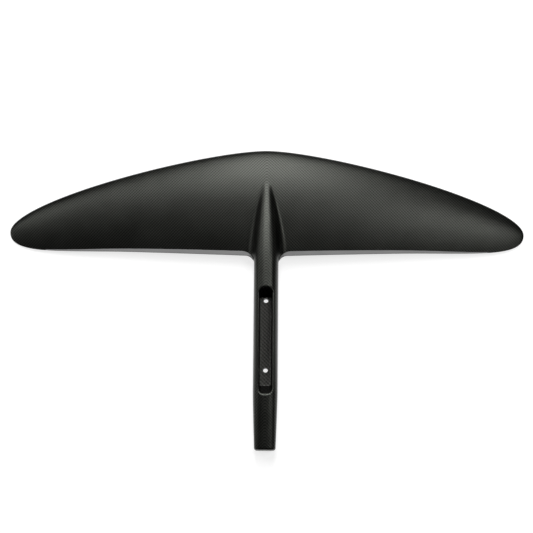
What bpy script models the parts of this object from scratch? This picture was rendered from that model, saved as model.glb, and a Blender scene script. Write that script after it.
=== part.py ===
"""A moulded carbon hydrofoil front wing with its fuselage and mast socket, in Blender.

The frame: X runs along the span (starboard is +X), Y towards the nose, Z up. The origin is under the
middle of the part's box, on the surface that it rests on. A station is a distance aft of the nose.
Units are metres.
"""

import math

import bmesh
import bpy
import numpy as np

# Driving dimensions
HALF_SPAN = 0.350
LENGTH = 0.407
ROOT_CHORD = 0.1464
THICKNESS_RATIO = 0.12
CAMBER_RATIO = 0.022
EDGE_THICKNESS = 0.0008
PARTING_HEIGHT = 0.020
TIP_HEIGHT = 0.0012

# Wing outline, as (distance from the centreline, station)
NOSE_CURVE = ((0.0, 0.0), (0.0783, 0.0), (HALF_SPAN, 0.0679), (HALF_SPAN, 0.1111))
TAIL_CURVE = ((0.1785, 0.1406), (0.2812, 0.1374), (HALF_SPAN, 0.1437), (HALF_SPAN, 0.1111))
STRIP_WIDTH = 0.0062
STRIP_FADE = 0.335
STRIP_FADE_POWER = 2.1
STRIP_END = 0.300
STRIP_ROOT = 0.0010

# Terms of a four-digit aerofoil's half thickness: the square root's, then those of s, s^2, s^3 and s^4
AEROFOIL = (0.2969, -0.1260, -0.3516, 0.2843, -0.1036)
# From this fraction of the chord on, the section stretches to reach a trailing edge that curves aft
STRETCH_START = 0.6
# The trailing edge's thickness is added over this fraction of the chord, from the nose
EDGE_BUILD_UP = 0.25

# Fuselage
BODY_HALF_WIDTH = 0.0165
BODY_RISE = 0.023
BODY_POWER = 3.0
FLAT_DEPTH = 0.0025
CREST_STATION = 0.160
FULL_WIDTH_STATION = 0.150
BELLY_START, BELLY_END = 0.012, 0.120
TAPER_STATION = 0.330
TAIL_HALF_WIDTH = 0.0142
DECLINE_STATION = 0.270
TAIL_RISE = 0.011
TAPER_POWER = 1.3
SEAT_HEIGHT = 0.005
SEAT_RAMP = (0.338, 0.352)
SKIN_END = 0.4030
OUTER_FILLET = 0.0115
INNER_FILLET = 0.0166
FILLET_START = 0.030

# Laminate
WING_SKIN = 0.0013
BODY_SKIN = 0.0026
SKIN_STEP = (0.120, 0.154)
GAP = 0.0003
CORE_GAP = 0.0005

# Filling between the skins, as fractions of the way from the nose to the skins' rear edge
TOW_FRONT, TOW_REAR = 0.03, 0.075
SPAR_FRONT, SPAR_REAR = 0.29, 0.42
CORE_REAR = 0.78
TOW_END = 0.234
CORE_END = 0.267
CAP_THICKNESS = 0.0010
CAP_GAP = 0.0002
WEB_THICKNESS = 0.0012
UNDER_CAP = CAP_THICKNESS + 4 * CAP_GAP

# Mast socket
SOCKET_TOP = (0.1915, 0.3363)
SOCKET_FLOOR = (0.2015, 0.3209)
SOCKET_TOP_HALF_WIDTH = 0.0092
SOCKET_FLOOR_HALF_WIDTH = 0.0081
SOCKET_TOP_CORNER = 0.0078
SOCKET_FLOOR_CORNER = 0.0027
SOCKET_DEPTH = 0.026
LINER_WALL = 0.0012
LINER_FLOOR = 0.0015
BOLT_STATIONS = (0.2058, 0.2998)
BOLT_HOLE_RADIUS = 0.0033
SLEEVE_RADIUS = 0.0050
WASHER_RADIUS = 0.0075
WASHER_RIM = 0.0012
WASHER_TOP = 0.0036
COUNTERSINK_WIDTH = 0.0026
COUNTERSINK_TOP = 0.0028
FITTING_RECESS = 0.0002
MOUTH_LOW = 0.009

# Tail
BLOCK_START, BLOCK_END = 0.1800, 0.3400
TAIL_BLOCK_START, TAIL_BLOCK_END = 0.3560, 0.3990
INSERT_STATIONS = (0.3640, 0.3900)
INSERT_RADIUS = 0.0040
INSERT_BORE = 0.0025
INSERT_LENGTH = 0.012
INSERT_ROOF = 0.0020
CAP_SPIGOT = 0.0020
SPIGOT_PLAY = 0.0008
CAP_ROUND = 0.0020
CAP_CROWN = 0.0002
CAP_FLAT = 0.55

CROWN = PARTING_HEIGHT + BODY_RISE
SOCKET_BED = CROWN - SOCKET_DEPTH
DROP = PARTING_HEIGHT - TIP_HEIGHT

# Construction: steps of a turned piece, how far a cutter runs past a face, halvings of each search
# for a height, how far that search reaches, and the least room between rows and between columns
ROUND_STEPS = 24
CUT_PAST = 0.002
HALVINGS = 40
SEARCH_REACH = 0.06
ROW_ROOM = 0.015
BODY_ROW_ROOM = 0.0015
COLUMN_ROOM = 0.0004

# Rows and columns that the skins and their filling share. Body columns are fractions of its half
# width, with one where the side walls of the skins end inside and one where the filling ends.
CORE_COLUMN = 0.78
SIDE_COLUMN = 1.0 - BODY_SKIN / BODY_HALF_WIDTH
BODY_COLUMNS = (0.0, 0.28, 0.5, 0.67, CORE_COLUMN, SIDE_COLUMN, 0.93, 0.98, 1.0)
WING_ROWS = (1.0 - np.cos(np.linspace(0.0, math.pi, 15))) / 2
BODY_ROWS = np.array([0.172, 0.215, 0.275, 0.330, *SEAT_RAMP, 0.345, 0.368, 0.387, SKIN_END])
BODY_ROWS.sort()


def clear_scene():
    for obj in list(bpy.data.objects):
        bpy.data.objects.remove(obj, do_unlink=True)


def new_collection(name):
    collection = bpy.data.collections.new(name)
    bpy.context.scene.collection.children.link(collection)
    return collection


def new_material(name, colour, roughness, metallic=0.0):
    material = bpy.data.materials.new(name)
    material.use_nodes = True
    shader = material.node_tree.nodes["Principled BSDF"]
    shader.inputs["Base Color"].default_value = (*colour, 1.0)
    shader.inputs["Roughness"].default_value = roughness
    shader.inputs["Metallic"].default_value = metallic
    return material


# Shape of the part, as formulas


def smooth_step(value, low, high):
    t = np.clip((value - low) / (high - low), 0.0, 1.0)
    return t * t * (3.0 - 2.0 * t)


def curve_points(corners, count=240):
    """Points of a cubic Bezier curve with these four control points."""
    t = np.linspace(0.0, 1.0, count)[:, None]
    p0, p1, p2, p3 = np.array(corners)
    u = 1.0 - t
    return u**3 * p0 + 3 * u**2 * t * p1 + 3 * u * t**2 * p2 + t**3 * p3


NOSE_POINTS = curve_points(NOSE_CURVE)
TAIL_POINTS = curve_points(TAIL_CURVE)


def nose_station(x):
    return np.interp(np.abs(x), NOSE_POINTS[:, 0], NOSE_POINTS[:, 1])


def edge_station(x):
    """Trailing edge without its fillet: straight from the root, then curved round the tip."""
    x = np.abs(x)
    start_x, start_station = TAIL_CURVE[0]
    straight = ROOT_CHORD + (start_station - ROOT_CHORD) * x / start_x
    return np.where(x < start_x, straight, np.interp(x, TAIL_POINTS[:, 0], TAIL_POINTS[:, 1]))


def corner_fillet(x, radius):
    """How far a quarter-circle fillet carries the trailing edge aft as it nears the fuselage."""
    out = np.clip(radius - (np.abs(x) - BODY_HALF_WIDTH), 0.0, radius)
    return radius - np.sqrt(radius**2 - out**2)


def strip_width(x):
    x = np.abs(x)
    width = STRIP_WIDTH * (1.0 - (x / STRIP_FADE) ** STRIP_FADE_POWER)
    return np.where(x > STRIP_END + GAP / 2, 0.0, width)


def skin_edge_station(x):
    """Where the skins end and the trailing edge strip begins."""
    return edge_station(x) - strip_width(x) + corner_fillet(x, INNER_FILLET)


def outer_edge_station(x):
    return edge_station(x) + corner_fillet(x, OUTER_FILLET)


CORNER_STATION = float(skin_edge_station(BODY_HALF_WIDTH))
FILLET_END = float(outer_edge_station(BODY_HALF_WIDTH))
ROOT_EDGE = FILLET_END - OUTER_FILLET


def parting_height(x):
    out = np.clip(np.abs(x) - BODY_HALF_WIDTH, 0.0, None) / (HALF_SPAN - BODY_HALF_WIDTH)
    return PARTING_HEIGHT - DROP * out**2


def wing_height(x, station, side):
    """Height of the aerofoil's surface above the parting surface, or below it for side -1."""
    chord = np.maximum(edge_station(x) - nose_station(x), 1e-6)
    along = np.clip((station - nose_station(x)) / chord, 0.0, None)
    stretch = corner_fillet(x, OUTER_FILLET) / chord
    aft = np.clip((along - STRETCH_START) / (1.0 - STRETCH_START + stretch), 0.0, 1.0)
    s = np.clip(along - stretch * aft**2, 0.0, 1.0)
    terms = (np.sqrt(s), s, s**2, s**3, s**4)
    shape = sum(factor * term for factor, term in zip(AEROFOIL, terms))
    edge = EDGE_THICKNESS / 2 * np.minimum(s / EDGE_BUILD_UP, 1.0)
    camber = CAMBER_RATIO * chord * 4.0 * s * (1.0 - s)
    return 5.0 * THICKNESS_RATIO * chord * shape + edge + side * camber


def body_half_width(station):
    nose = BODY_HALF_WIDTH * np.sin(math.pi / 2 * np.clip(station / FULL_WIDTH_STATION, 0.0, 1.0))
    aft = np.clip((station - TAPER_STATION) / (LENGTH - TAPER_STATION), 0.0, 1.0)
    return nose - (BODY_HALF_WIDTH - TAIL_HALF_WIDTH) * aft**TAPER_POWER


def body_rise(station):
    nose = 1.0 - (1.0 - np.clip(station / CREST_STATION, 0.0, 1.0)) ** 2
    aft = np.clip((station - DECLINE_STATION) / (LENGTH - DECLINE_STATION), 0.0, 1.0)
    return BODY_RISE * nose - (BODY_RISE - TAIL_RISE) * aft**TAPER_POWER


def belly_height(station):
    """Height of the flat underside: it comes down from the nose and steps up to the tail's seat."""
    nose = PARTING_HEIGHT * (1.0 - smooth_step(station, BELLY_START, BELLY_END))
    return nose + SEAT_HEIGHT * smooth_step(station, *SEAT_RAMP)


def skin_thickness(station):
    return WING_SKIN + (BODY_SKIN - WING_SKIN) * smooth_step(station, *SKIN_STEP)


def fillet_radius(station):
    growing = OUTER_FILLET * smooth_step(station, FILLET_START, ROOT_EDGE)
    left = np.clip(FILLET_END - station, 0.0, OUTER_FILLET)
    closing = OUTER_FILLET - np.sqrt(OUTER_FILLET**2 - left**2)
    return np.where(station < ROOT_EDGE, growing, closing)


def surface_depth(x, station, z, side):
    """About how far a point is outside the wing and fuselage, joined by a fillet; negative inside."""
    height = wing_height(x, station, side)
    step = 0.0005
    slope = (wing_height(x, station + step, side) - height) / step
    wing = (side * (z - parting_height(x)) - height) / np.sqrt(1.0 + slope**2)
    if side > 0:
        reach = body_rise(station)
    else:
        reach = PARTING_HEIGHT - belly_height(station) + FLAT_DEPTH
    across = np.abs(x) / np.maximum(body_half_width(station), 1e-4)
    up = np.abs(z - PARTING_HEIGHT) / np.maximum(reach, 1e-4)
    ratio = np.maximum((across**BODY_POWER + up**BODY_POWER) ** (1.0 / BODY_POWER), 1e-6)
    body = (1.0 - 1.0 / ratio) * np.hypot(x, z - PARTING_HEIGHT)
    if side < 0:
        body = np.maximum(body, belly_height(station) - z)
    k = fillet_radius(station)
    round_part = np.hypot(np.maximum(k - wing, 0.0), np.maximum(k - body, 0.0))
    return np.maximum(k, np.minimum(wing, body)) - round_part


def surface(x, station, side, inset=0.0):
    """Height of the outer surface, or of the surface that lies inset inside it."""
    x, station = np.broadcast_arrays(np.asarray(x, float), np.asarray(station, float))
    near = parting_height(x)
    far = near + side * SEARCH_REACH
    for _ in range(HALVINGS):
        middle = (near + far) / 2
        inside = surface_depth(x, station, middle, side) < -np.asarray(inset)
        near = np.where(inside, middle, near)
        far = np.where(inside, far, middle)
    return (near + far) / 2


def shell_height(x, station, side, inset=0.0):
    """The surface, kept half a gap clear of the parting surface."""
    above = side * (surface(x, station, side, inset) - parting_height(x))
    return parting_height(x) + side * np.maximum(above, GAP / 2)


def place(x, station, z):
    """Points in the part's frame, stacked along the last axis."""
    x, station, z = np.broadcast_arrays(x, station, z)
    return np.stack([x, LENGTH / 2 - station, z], axis=-1)


# Mesh tools


def add_object(name, mesh, material):
    mesh.materials.append(material)
    obj = bpy.data.objects.new(name, mesh)
    PARTS.objects.link(obj)
    return obj


def closed_mesh(name, points, faces):
    """A mesh whose coinciding points are made one and whose faces are turned outwards."""
    mesh = bpy.data.meshes.new(name)
    mesh.from_pydata([tuple(point) for point in points], [], faces)
    work = bmesh.new()
    work.from_mesh(mesh)
    bmesh.ops.remove_doubles(work, verts=work.verts, dist=1e-6)
    bmesh.ops.recalc_face_normals(work, faces=work.faces)
    work.to_mesh(mesh)
    work.free()
    return mesh


def solid_between(name, first, second, cells, material):
    """A closed solid between two grids of points, over the grid's chosen cells.

    Each cell is two triangles, split the same way in both grids and mirrored across the centreline.
    """
    rows, columns = first.shape[:2]
    faces, edges = [], set()
    for row, column in zip(*np.nonzero(cells)):
        a = int(row * columns + column)
        b, c, d = a + columns, a + columns + 1, a + 1
        starboard = first[row, column, 0] + first[row, column + 1, 0] > 0
        halves = ((a, b, c), (a, c, d)) if starboard else ((a, b, d), (b, c, d))
        for half in halves:
            faces.append(half)
            faces.append(tuple(rows * columns + corner for corner in reversed(half)))
        edges |= {(a, b), (b, c), (c, d), (d, a)}
    for start, end in sorted(edges):
        if (end, start) not in edges:
            faces.append((end, start, rows * columns + start, rows * columns + end))
    used = sorted({corner for face in faces for corner in face})
    index = {old: new for new, old in enumerate(used)}
    points = np.concatenate([first.reshape(-1, 3), second.reshape(-1, 3)])[used]
    faces = [tuple(index[corner] for corner in face) for face in faces]
    mesh = closed_mesh(name, points, faces)
    mesh.shade_smooth()
    mesh.set_sharp_from_angle(angle=math.radians(35))
    return add_object(name, mesh, material)


def ring_loft(name, rings):
    """A mesh through closed rings of equal count, with flat ends."""
    count = len(rings[0])
    faces = [tuple(range(count)), tuple((len(rings) - 1) * count + i for i in range(count))]
    for level in range(len(rings) - 1):
        for i in range(count):
            j = (i + 1) % count
            low = level * count
            faces.append((low + i, low + j, low + count + j, low + count + i))
    return closed_mesh(name, np.concatenate(rings), faces)


def as_cutter(name, mesh):
    cutter = bpy.data.objects.new(name, mesh)
    CUTTERS.objects.link(cutter)
    cutter.hide_render = True
    cutter.display_type = "WIRE"
    return cutter


def cut(obj, *cutters):
    for cutter in cutters:
        modifier = obj.modifiers.new(cutter.name, "BOOLEAN")
        modifier.operation = "DIFFERENCE"
        modifier.solver = "EXACT"
        modifier.object = cutter


def turned_mesh(name, profile, closed):
    """The (radius, height) profile that a Screw modifier turns, its outer side from the top down."""
    edges = [(i, i + 1) for i in range(len(profile) - 1)]
    if closed:
        edges.append((len(profile) - 1, 0))
    mesh = bpy.data.meshes.new(name)
    mesh.from_pydata([(radius, 0.0, height) for radius, height in profile], edges, [])
    return mesh


def turn(obj, station):
    screw = obj.modifiers.new("turn", "SCREW")
    screw.steps = screw.render_steps = ROUND_STEPS
    screw.use_merge_vertices = True
    screw.merge_threshold = 1e-5
    screw.use_smooth_shade = True
    obj.location = (0.0, LENGTH / 2 - station, 0.0)
    return obj


def turned_part(name, profile, station, material):
    turn(add_object(name, turned_mesh(name, profile, True), material), station)


def turned_cutter(name, profile, station):
    return turn(as_cutter(name, turned_mesh(name, profile, False)), station)


# Skins


def side_columns():
    """Distances from the centreline: close at the fuselage's side, in its fillets and at the tip."""
    body = BODY_HALF_WIDTH * np.array(BODY_COLUMNS)
    corner = BODY_HALF_WIDTH + INNER_FILLET * (1.0 - np.cos(np.radians((15, 30, 45, 60, 75, 90))))
    wing = corner[-1] + (STRIP_END - corner[-1]) * np.linspace(0.0, 1.0, 9)[1:]
    tip = STRIP_END + GAP + (HALF_SPAN - STRIP_END - GAP) * np.sin(np.radians(np.linspace(0.0, 90.0, 6)))
    return np.concatenate([body, corner, wing, tip])


def both_sides(columns):
    return np.concatenate([-columns[:0:-1], columns])


def row_station(x, fraction):
    """Station at a fraction of the way from the nose to the skins' rear edge."""
    inner = np.abs(x) <= BODY_HALF_WIDTH + 1e-9
    edge = np.where(inner, CORNER_STATION, skin_edge_station(x))
    return nose_station(x) + fraction * (edge - nose_station(x))


def skin_grid():
    """(x, station, cells) of the skins' shared plan: wing rows, then rows along the fuselage."""
    columns = both_sides(side_columns())
    wing_station = row_station(columns, WING_ROWS[:, None])
    ratio = np.clip(columns / BODY_HALF_WIDTH, -1.0, 1.0)
    body_x = ratio * body_half_width(BODY_ROWS)[:, None]
    x = np.concatenate([np.broadcast_to(columns, wing_station.shape), body_x])
    station = np.concatenate([wing_station, np.broadcast_to(BODY_ROWS[:, None], body_x.shape)])
    inner = np.abs(columns) <= BODY_HALF_WIDTH + 1e-9
    cells = np.ones((len(x) - 1, len(columns) - 1), bool)
    cells[len(WING_ROWS) - 1 :] = inner[1:] & inner[:-1]
    return x, station, cells


def make_skin(name, side, material):
    x, station, cells = skin_grid()
    outer = place(x, station, shell_height(x, station, side))
    inner = place(x, station, shell_height(x, station, side, skin_thickness(station)))
    return solid_between(name, outer, inner, cells, material)


def make_strip(name, sign, material):
    """The wedge behind the skins that forms one wing's trailing edge."""
    near = BODY_HALF_WIDTH + STRIP_ROOT
    angles = np.radians(np.linspace(20.0, 90.0, 6))
    corner = near + (INNER_FILLET - STRIP_ROOT) * (1.0 - np.cos(angles))
    wing = corner[-1] + (STRIP_END - corner[-1]) * np.linspace(0.0, 1.0, 9)[1:]
    x = np.concatenate([[near], corner, wing])
    front = skin_edge_station(x) + GAP
    back = outer_edge_station(x)
    station = front + np.array([0.0, 0.5, 1.0])[:, None] * (back - front)
    above = place(sign * x, station, surface(x, station, 1))
    below = place(sign * x, station, surface(x, station, -1))
    return solid_between(name, above, below, np.ones((2, len(x) - 1), bool), material)


# Pieces between the skins


def filling(x, station, side, drop=0.0):
    """Height just inside a skin, and a further drop towards the parting surface."""
    return surface(x, station, side, skin_thickness(station) + CORE_GAP) - side * drop


def slab(name, x, station, material, drop=0.0):
    """A piece that fills the space between the skins, less a drop that is left for the spar caps."""
    above = place(x, station, filling(x, station, 1, drop))
    below = place(x, station, filling(x, station, -1, drop))
    cells = np.ones((above.shape[0] - 1, above.shape[1] - 1), bool)
    return solid_between(name, above, below, cells, material)


def cap_slab(name, x, station, side, material):
    """A spar cap: a flat tape just inside one skin."""
    outside = place(x, station, filling(x, station, side, CAP_GAP))
    inside = place(x, station, filling(x, station, side, CAP_GAP + CAP_THICKNESS))
    cells = np.ones((outside.shape[0] - 1, outside.shape[1] - 1), bool)
    return solid_between(name, outside, inside, cells, material)


def columns_between(inner, outer):
    """The skins' columns in a stretch of one wing, and the stretch's own two ends."""
    columns = side_columns()
    inside = columns[(columns > inner + COLUMN_ROOM) & (columns < outer - COLUMN_ROOM)]
    return np.concatenate([[inner], inside, [outer]])


def rows_between(x, front, rear, front_shift=0.0, rear_shift=0.0):
    """Stations of the skins' rows between two fractions, whose own lines can be shifted aft."""
    inside = WING_ROWS[(WING_ROWS > front + ROW_ROOM) & (WING_ROWS < rear - ROW_ROOM)]
    rows = [row_station(x, front) + front_shift]
    rows += [row_station(x, fraction) for fraction in inside]
    rows.append(row_station(x, rear) + rear_shift)
    return np.array(rows)


def make_spar(materials):
    x = both_sides(columns_between(0.0, CORE_END))
    station = rows_between(x, SPAR_FRONT, SPAR_REAR)
    cap_slab("upper_spar_cap", x, station, 1, materials["tape"])
    cap_slab("lower_spar_cap", x, station, -1, materials["tape"])
    front, rear = station[0], station[-1]
    front_web = np.array([front, front + WEB_THICKNESS])
    rear_web = np.array([rear - WEB_THICKNESS, rear])
    slab("front_shear_web", x, front_web, materials["laminate"], UNDER_CAP)
    slab("rear_shear_web", x, rear_web, materials["laminate"], UNDER_CAP)
    inset = WEB_THICKNESS + GAP
    for side_name, sign in (("port", -1), ("starboard", 1)):
        x = np.sort(sign * columns_between(GAP / 2, CORE_END))
        station = rows_between(x, SPAR_FRONT, SPAR_REAR, inset, -inset)
        slab("spar_core_" + side_name, x, station, materials["foam"], UNDER_CAP)


def make_wing_cores(materials):
    x = both_sides(columns_between(0.0, TOW_END))
    station = rows_between(x, TOW_FRONT, TOW_REAR, 0.0, -GAP)
    slab("leading_edge_tow", x, station, materials["tow"])
    for side_name, sign in (("port", -1), ("starboard", 1)):
        x = np.sort(sign * columns_between(GAP / 2, CORE_END))
        station = rows_between(x, TOW_REAR, SPAR_FRONT, 0.0, -GAP)
        slab("nose_core_" + side_name, x, station, materials["foam"])
        x = np.sort(sign * columns_between(CORE_COLUMN * BODY_HALF_WIDTH + GAP, CORE_END))
        station = rows_between(x, SPAR_REAR, CORE_REAR, GAP)
        slab("rear_core_" + side_name, x, station, materials["foam"])


def body_slab(name, start, end, material):
    """A piece of the fuselage's filling, as wide as the space between the skins' sides."""
    rows = np.concatenate([WING_ROWS * CORNER_STATION, BODY_ROWS])
    rows = rows[(rows > start + BODY_ROW_ROOM) & (rows < end - BODY_ROW_ROOM)]
    station = np.concatenate([[start], rows, [end]])[:, None]
    half_width = np.where(station < CORNER_STATION, BODY_HALF_WIDTH, body_half_width(station))
    ratios = np.array([column for column in BODY_COLUMNS if column <= CORE_COLUMN])
    return slab(name, both_sides(ratios) * half_width, station, material)


def bolt_passage(index, station):
    """A turned cutter for a sleeve, and for the washer under it."""
    top = SOCKET_BED - LINER_FLOOR + CUT_PAST / 2
    wide, narrow = WASHER_RADIUS + GAP, SLEEVE_RADIUS + GAP
    profile = (
        (0.0, top),
        (narrow, top),
        (narrow, WASHER_TOP + GAP),
        (wide, WASHER_RIM + GAP),
        (wide, -CUT_PAST),
        (0.0, -CUT_PAST),
    )
    return turned_cutter(f"bolt_passage_{index}", profile, station)


def insert_passage(index, station):
    top = SEAT_HEIGHT + INSERT_LENGTH + GAP
    radius = INSERT_RADIUS + GAP
    profile = ((0.0, top), (radius, top), (radius, -CUT_PAST), (0.0, -CUT_PAST))
    return turned_cutter(f"insert_passage_{index}", profile, station)


# Mast socket


def slot_ring(ends, half_width, corner, grow=0.0, arc_steps=5):
    """(x, station) of a rectangle with rounded corners."""
    front, back = ends[0] - grow, ends[1] + grow
    half_width, corner = half_width + grow, corner + grow
    x, station = [], []
    for turn_index, (sign_x, sign_a) in enumerate(((1, 1), (-1, 1), (-1, -1), (1, -1))):
        centre_x = sign_x * (half_width - corner)
        centre_a = back - corner if sign_a > 0 else front + corner
        for step in range(arc_steps + 1):
            angle = math.pi / 2 * (turn_index + step / arc_steps)
            x.append(centre_x + corner * math.cos(angle))
            station.append(centre_a + corner * math.sin(angle))
    return np.array(x), np.array(station)


def socket_ring(z, grow):
    """Points round the socket's sloping wall at a height, which may differ from point to point."""
    low_x, low_a = slot_ring(SOCKET_FLOOR, SOCKET_FLOOR_HALF_WIDTH, SOCKET_FLOOR_CORNER, grow)
    high_x, high_a = slot_ring(SOCKET_TOP, SOCKET_TOP_HALF_WIDTH, SOCKET_TOP_CORNER, grow)
    share = (z - SOCKET_BED) / SOCKET_DEPTH
    return place(low_x + share * (high_x - low_x), low_a + share * (high_a - low_a), z)


def ring_under_skin(grow):
    """The ring in which the socket's wall meets the underside of the upper skin, less a gap."""
    count = len(socket_ring(SOCKET_BED, grow))
    near, far = np.full(count, SOCKET_BED), np.full(count, CROWN)
    for _ in range(HALVINGS):
        middle = (near + far) / 2
        ring = socket_ring(middle, grow)
        inside = middle < filling(ring[:, 0], LENGTH / 2 - ring[:, 1], 1)
        near, far = np.where(inside, middle, near), np.where(inside, far, middle)
    return socket_ring(near, grow)


def make_liner(material):
    rings = [
        socket_ring(SOCKET_BED - LINER_FLOOR, LINER_WALL),
        ring_under_skin(LINER_WALL),
        ring_under_skin(0.0),
        socket_ring(SOCKET_BED, 0.0),
    ]
    liner = add_object("mast_socket_liner", ring_loft("mast_socket_liner", rings), material)
    top, low, radius = SOCKET_BED + CUT_PAST, SOCKET_BED - LINER_FLOOR - CUT_PAST, BOLT_HOLE_RADIUS
    profile = ((0.0, top), (radius, top), (radius, low), (0.0, low))
    for index, bolt_station in enumerate(BOLT_STATIONS):
        cut(liner, turned_cutter(f"floor_hole_{index}", profile, bolt_station))


def socket_cutter(name, grow, low):
    """The socket's space from a height up past the fuselage's crown."""
    rings = [socket_ring(low, grow), socket_ring(CROWN + 3 * CUT_PAST, grow)]
    return as_cutter(name, ring_loft(name, rings))


# Metal fittings and tail


def make_bolt_fittings(materials):
    sleeve_top = SOCKET_BED - LINER_FLOOR - GAP
    for name, station in zip(("front", "rear"), BOLT_STATIONS):
        sleeve_low = WASHER_TOP + GAP
        sleeve = (
            (SLEEVE_RADIUS, sleeve_top),
            (SLEEVE_RADIUS, sleeve_low),
            (BOLT_HOLE_RADIUS, sleeve_low),
            (BOLT_HOLE_RADIUS, sleeve_top),
        )
        turned_part(name + "_bolt_sleeve", sleeve, station, materials["laminate"])
        washer = (
            (SLEEVE_RADIUS, WASHER_TOP),
            (WASHER_RADIUS, WASHER_RIM),
            (WASHER_RADIUS, FITTING_RECESS),
            (BOLT_HOLE_RADIUS + COUNTERSINK_WIDTH, FITTING_RECESS),
            (BOLT_HOLE_RADIUS, COUNTERSINK_TOP),
            (BOLT_HOLE_RADIUS, WASHER_TOP),
        )
        turned_part(name + "_cup_washer", washer, station, materials["steel"])


def make_inserts(material):
    for name, station in zip(("front", "rear"), INSERT_STATIONS):
        low, top = SEAT_HEIGHT + FITTING_RECESS, SEAT_HEIGHT + INSERT_LENGTH
        profile = (
            (0.0, top),
            (INSERT_RADIUS, top),
            (INSERT_RADIUS, low),
            (INSERT_BORE, low),
            (INSERT_BORE, top - INSERT_ROOF),
            (0.0, top - INSERT_ROOF),
        )
        mesh = turned_mesh(name + "_tail_insert", profile, False)
        turn(add_object(name + "_tail_insert", mesh, material), station)


def body_ring(station, inset):
    """The fuselage's outline at a station, going round from starboard over the crown."""
    angles = np.radians(np.arange(0.0, 180.1, 15.0))
    width = float(body_half_width(station)) - inset
    x = width * np.cos(angles)
    above = surface(x, station, 1, inset)
    below = surface(x[-2:0:-1], station, -1, inset)
    return np.concatenate([place(x, station, above), place(x[-2:0:-1], station, below)])


def make_tail_cap(material):
    """A plug with a spigot inside the skins and a softly domed, round-cornered end."""
    spigot = BODY_SKIN + SPIGOT_PLAY
    start, round_start = SKIN_END + GAP, LENGTH - CAP_ROUND - CAP_CROWN
    levels = ((start - CAP_SPIGOT, spigot), (start, spigot), (start, 0.0), (round_start, 0.0))
    rings = [body_ring(station, inset) for station, inset in levels]
    last = rings[-1]
    middle = (last.max(axis=0) + last.min(axis=0)) / 2
    for angle in np.radians((30.0, 60.0, 85.0)):
        shrink = 1.0 - CAP_ROUND * (1.0 - math.cos(angle)) / TAIL_HALF_WIDTH
        ring = middle + (last - middle) * shrink
        ring[:, 1] = last[0, 1] - CAP_ROUND * math.sin(angle)
        rings.append(ring)
    end = middle + (last - middle) * CAP_FLAT
    end[:, 1] = -LENGTH / 2
    rings.append(end)
    add_object("tail_cap", ring_loft("tail_cap", rings), material)


def build():
    materials = {
        "carbon": new_material("carbon_twill", (0.018, 0.019, 0.018), 0.28),
        "socket": new_material("socket_carbon", (0.022, 0.022, 0.021), 0.5),
        "strip": new_material("edge_adhesive", (0.22, 0.22, 0.22), 0.65),
        "tape": new_material("carbon_tape", (0.03, 0.03, 0.032), 0.45),
        "laminate": new_material("solid_laminate", (0.025, 0.025, 0.027), 0.5),
        "tow": new_material("carbon_tow", (0.035, 0.035, 0.038), 0.55),
        "foam": new_material("structural_foam", (0.62, 0.52, 0.28), 0.9),
        "steel": new_material("stainless_steel", (0.62, 0.62, 0.64), 0.3, 1.0),
        "brass": new_material("brass", (0.72, 0.55, 0.24), 0.35, 1.0),
    }
    upper = make_skin("upper_skin", 1, materials["carbon"])
    lower = make_skin("lower_skin", -1, materials["carbon"])
    make_strip("trailing_edge_strip_port", -1, materials["strip"])
    make_strip("trailing_edge_strip_starboard", 1, materials["strip"])
    make_spar(materials)
    make_wing_cores(materials)
    core_start = float(row_station(CORE_COLUMN * BODY_HALF_WIDTH, SPAR_REAR)) + GAP
    body_slab("front_fuselage_core", core_start, BLOCK_START - GAP, materials["foam"])
    block = body_slab("socket_block", BLOCK_START, BLOCK_END, materials["laminate"])
    body_slab("rear_fuselage_core", BLOCK_END + GAP, TAIL_BLOCK_START - GAP, materials["foam"])
    tail = body_slab("tail_block", TAIL_BLOCK_START, TAIL_BLOCK_END, materials["laminate"])
    make_liner(materials["socket"])
    make_bolt_fittings(materials)
    make_inserts(materials["brass"])
    make_tail_cap(materials["carbon"])

    cut(upper, socket_cutter("socket_mouth", 0.0, SOCKET_BED + MOUTH_LOW))
    cut(block, socket_cutter("liner_seat", LINER_WALL + GAP, SOCKET_BED - LINER_FLOOR - GAP))
    for index, station in enumerate(BOLT_STATIONS):
        passage = bolt_passage(index, station)
        cut(lower, passage)
        cut(block, passage)
    for index, station in enumerate(INSERT_STATIONS):
        passage = insert_passage(index, station)
        cut(lower, passage)
        cut(tail, passage)


clear_scene()
PARTS = new_collection("hydrofoil_front_wing")
CUTTERS = new_collection("cutters")
build()
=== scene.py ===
import math

import bmesh
import bpy
import numpy as np
from mathutils import Matrix, Vector


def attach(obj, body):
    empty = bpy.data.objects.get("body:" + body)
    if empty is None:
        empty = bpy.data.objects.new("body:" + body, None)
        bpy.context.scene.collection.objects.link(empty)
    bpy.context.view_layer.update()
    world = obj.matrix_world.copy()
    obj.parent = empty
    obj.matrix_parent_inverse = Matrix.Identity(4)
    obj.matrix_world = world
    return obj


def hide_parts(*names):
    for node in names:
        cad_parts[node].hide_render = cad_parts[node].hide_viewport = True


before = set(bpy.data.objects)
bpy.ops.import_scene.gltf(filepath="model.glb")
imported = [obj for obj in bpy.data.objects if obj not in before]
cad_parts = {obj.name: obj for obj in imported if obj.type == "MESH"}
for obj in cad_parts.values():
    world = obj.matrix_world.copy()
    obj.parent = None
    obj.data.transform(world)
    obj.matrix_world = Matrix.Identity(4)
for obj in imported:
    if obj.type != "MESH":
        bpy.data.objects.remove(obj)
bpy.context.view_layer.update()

# The part's own dimensions, in metres: the shapes below are those of the CAD, drawn finely.
# A station is a distance aft of the nose.
HALF_SPAN = 0.350
LENGTH = 0.407
ROOT_CHORD = 0.1464
THICKNESS_RATIO = 0.12
CAMBER_RATIO = 0.022
EDGE_THICKNESS = 0.0008
PARTING_HEIGHT = 0.020
TIP_HEIGHT = 0.0012
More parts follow.
